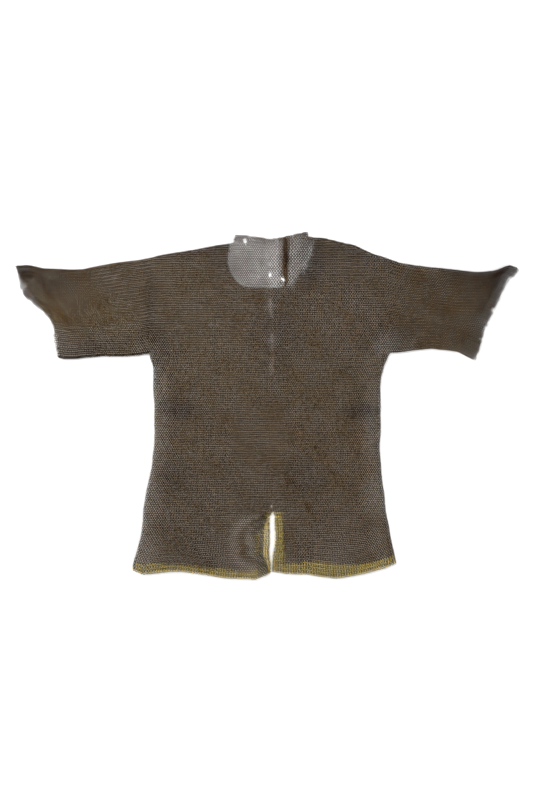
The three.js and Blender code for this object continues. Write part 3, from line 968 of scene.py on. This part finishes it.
row_count = int((405 - HEM_MIDDLE) / ROW) + 1
for layer in ("front", "back"):
    shade = uneven(row_count, 2 * ALL_COLUMNS + 1)
    for r in range(row_count):
        second = r % 2 == 1
        nominal = HEM_MIDDLE + REACH + r * ROW
        c = np.arange(ALL_COLUMNS + 1, dtype=float) if second else np.arange(ALL_COLUMNS) + 0.5
        if second and layer == "back" and nominal < ARMPIT - 2:
            c = c[1:-1]  # the ring on a side fold belongs to the front
        left = c <= COLUMNS_LEFT
        row = np.full(len(c), float(r))
        middle, u, up = frames(lambda cc, rr: body_point(cc, rr, layer, left), c, row)
        x, y = middle[:, 0], middle[:, 1]
        keep = np.ones(len(c), bool)

        top = column(SHOULDER, x, 1 if layer == "front" else 2)
        over_neck = (x > -84) & (x < 106)
        spare = np.where(over_neck & (layer == "back"), REACH - 2.5, 2.9)
        keep &= y < top - spare
        if layer == "front":
            keep &= ~inside(NECK_AREA, x, y) & (to_line(NECK_CURVE, x, y) > 3.2)
            opened = np.interp(y, SLIT[:, 0], SLIT[:, 2])
            at_slit = (np.abs(c - COLUMNS_LEFT) < 0.1) & (y > 62) & (y < 290)
            keep &= ~(at_slit & (opened > 1.7))
        else:
            for hx, hy, half_w, half_h in LOST:
                keep &= ((x - hx) / half_w) ** 2 + ((y - hy) / half_h) ** 2 > 1
        # A see-through spot over the head of the vent.
        keep &= ((x - 11.6) / 3.2) ** 2 + ((y + 231.7) / 4.2) ** 2 > 1
        gone = rng.random(len(c)) < 0.0012
        keep &= ~gone

        join = column(HEM, x, 1) + rng.normal(0, 0.9, len(c))
        in_hem = y < join
        low = np.clip(y, VENT[0, 0], VENT_TOP)
        band_left = column(VENT, low, 5 if layer == "back" else 6)
        band_right = column(VENT, low, 4)
        in_vent = (~in_hem) & (y < VENT_TOP) & (x > band_left) & (x < band_right)
        out = up if layer == "front" else -up
        kind = -1.0 if second else 1.0
        for side_name, half in (("left", left), ("right", ~left)):
            for group, chosen in (
                (f"net_{layer}_{side_name}", ~in_hem & ~in_vent),
                (f"brass_hem_{layer}_{side_name}", in_hem),
                (f"brass_vent_{layer}_{side_name}", in_vent),
            ):
                pick = keep & half & chosen
                tone = shade[r, np.round(2 * c).astype(int)][pick]
                rings[group].add(middle[pick], u[pick], out[pick], kind, tone)

for side_name, form in SLEEVES.items():
    group = rings[f"net_sleeve_{side_name}"]
    for layer in ("front", "back"):
        shade = uneven(row_count, 160)
        for r in range(row_count):
            arm_y = HEM_MIDDLE + REACH + r * ROW
            down = (form["top"] - arm_y) / (form["top"] - form["bottom"])
            if not 2.4 / 221 < down < 1 - 2.4 / 221:
                continue
            second = r % 2 == 1
            length = float(sleeve_length(form, layer, down)) - 3.2
            start = 1.0 if second else 0.5
            last = round((length / SLEEVE_PITCH - start)) + start
            c = np.arange(start, last + 0.1, 1.0)
            spare = 0.6 * (length - last * SLEEVE_PITCH) * np.clip(1 - (last - c) / 9, 0, 1)
            spare = spare + rng.normal(0, 0.5) * (c == last)
            row = np.full(len(c), float(r))
            middle, u, up = frames(
                lambda cc, rr: sleeve_point(form, layer, cc, rr, spare), c, row
            )
            if form["side"] < 0:
                up = -up
            keep = rng.random(len(c)) > 0.0015
            keep &= ~((c == last) & (rng.random(len(c)) < 0.12))
            out = up if layer == "front" else -up
            tone = shade[r, np.round(2 * c).astype(int)][keep]
            group.add(middle[keep], u[keep], out[keep], -1.0 if second else 1.0, tone)


def fold_row(group, points, outward, pitch=2.55):
    """Rings standing across a fold, at mid height, alternately of either lean."""
    points = np.asarray(points, float)
    steps = np.hypot(*np.diff(points, axis=0).T)
    run = np.concatenate([[0], np.cumsum(steps)])
    at = np.arange(pitch / 2, run[-1], pitch)
    x, y = np.interp(at, run, points[:, 0]), np.interp(at, run, points[:, 1])
    dx = np.interp(at + 2, run, points[:, 0]) - np.interp(at - 2, run, points[:, 0])
    dy = np.interp(at + 2, run, points[:, 1]) - np.interp(at - 2, run, points[:, 1])
    along = unit(np.stack([dx, dy, 0 * dx], -1))
    out = np.cross(along, [0, 0, 1.0])
    out = out * np.sign(out[:, 1:2] * outward)
    wx, wy = drift(x, y)
    second = np.arange(len(x)) % 2 == 1
    height = MID_Z + np.where(second, 1.3, -0.9)
    middle = np.stack([x + wx, y + wy, height], -1) - out * 2.4
    middle = middle + out * rng.normal(0, 0.25, (len(x), 1))
    upright = np.broadcast_to([0, 0, 1.0], middle.shape)
    group.add(middle, upright, out, np.where(second, -1.0, 1.0))


shoulder = SHOULDER[:, [0, 1]]
xs = np.arange(-262, -84, 4.0)
fold_row(rings["net_front_left"], np.stack([xs, column(SHOULDER, xs, 1)], -1), 1)
xs = np.arange(108, 275, 4.0)
fold_row(rings["net_front_right"], np.stack([xs, column(SHOULDER, xs, 1)], -1), 1)
for side_name, form in SLEEVES.items():
    for down, outward in ((0.0, 1), (1.0, -1)):
        s = np.linspace(0.0, 0.99, 80)
        x, y = sleeve_place(form, "front", s, np.full(80, down))
        fold_row(rings[f"net_sleeve_{side_name}"], np.stack([x, y], -1), outward)

NODES = {
    "net_front_left": "body_front",
    "net_front_right": "body_front",
    "net_back_left": "body_back",
    "net_back_right": "body_back",
    "net_sleeve_left": "sleeve_left",
    "net_sleeve_right": "sleeve_right",
}
total = 0
for seed, (name, group) in enumerate(rings.items()):
    is_brass = name.startswith("brass")
    node = name[len("brass_") :] if is_brass else NODES[name]
    build(
        name,
        group,
        100 + seed,
        brass if is_brass else iron,
        [node],
    )
    total += group.count()
    print(name, group.count(), "rings", group.count() * TRIANGLES, "triangles")
print("rings", total, "triangles", total * TRIANGLES)

# ---- the cloths' cut -----------------------------------------------------------------------------
# Flat width, length and area of what shows of each net, in metres; the brass goes with its net.
CUT = {
    "net_front_left": (0.312, 0.750, 0.1880),
    "net_front_right": (0.300, 0.760, 0.1840),
    "net_back_left": (0.312, 0.770, 0.2010),
    "net_back_right": (0.300, 0.775, 0.1920),
    "net_sleeve_left": (0.318, 0.444, 0.1068),
    "net_sleeve_right": (0.303, 0.440, 0.0948),
}
for name, (width, length, area) in CUT.items():
    if "sleeve" not in name:
        _, layer, side_name = name.split("_")

# ---- floor, light and camera ---------------------------------------------------------------------
floor_mesh = bpy.data.meshes.new("floor")
half = 30.0
floor_mesh.from_pydata(
    [(-half, -half, 0), (half, -half, 0), (half, half, 0), (-half, half, 0)],
    [],
    [(0, 1, 2, 3)],
)
floor = bpy.data.objects.new("floor", floor_mesh)
floor.location.z = -0.0004
bpy.context.scene.collection.objects.link(floor)
pale_floor = bpy.data.materials.new("floor")
pale_floor.use_nodes = True
board = pale_floor.node_tree.nodes["Principled BSDF"]
board.inputs["Base Color"].default_value = (0.9, 0.9, 0.9, 1)
board.inputs["Roughness"].default_value = 0.8
board.inputs["Specular IOR Level"].default_value = 0.1
board.inputs["Emission Color"].default_value = (1, 1, 1, 1)
board.inputs["Emission Strength"].default_value = 0.04
floor_mesh.materials.append(pale_floor)

world = bpy.data.worlds.new("studio")
bpy.context.scene.world = world
world.use_nodes = True
sky = world.node_tree.nodes["Background"]
sky.inputs["Color"].default_value = (1.0, 0.99, 0.97, 1)
sky.inputs["Strength"].default_value = 0.36


def area_light(name, place, size, power, colour=(1, 1, 1)):
    data = bpy.data.lights.new(name, "AREA")
    data.shape = "DISK"
    data.size = size
    data.energy = power
    data.color = colour
    lamp = bpy.data.objects.new(name, data)
    lamp.location = place
    lamp.rotation_mode = "QUATERNION"
    lamp.rotation_quaternion = (-Vector(place)).to_track_quat("-Z", "Y")
    bpy.context.scene.collection.objects.link(lamp)


area_light("key", (-1.5, 1.5, 3.0), 2.0, 128)
area_light("fill", (1.9, -1.3, 2.8), 1.8, 58)

camera_data = bpy.data.cameras.new("camera")
camera = bpy.data.objects.new("camera", camera_data)
bpy.context.scene.collection.objects.link(camera)
camera_data.lens = 100
camera_data.sensor_width = 36
# 800 pixels of 2.3 mm stand on the long side, in the middle plane of the rings.
distance = camera_data.lens / camera_data.sensor_width * 1.84
camera.location = (-0.000575, 0.014375, 0.006 + distance)
camera.rotation_euler = (0, 0, 0)
camera_data.clip_end = 100
bpy.context.scene.camera = camera
bpy.context.scene.view_settings.view_transform = "Standard"
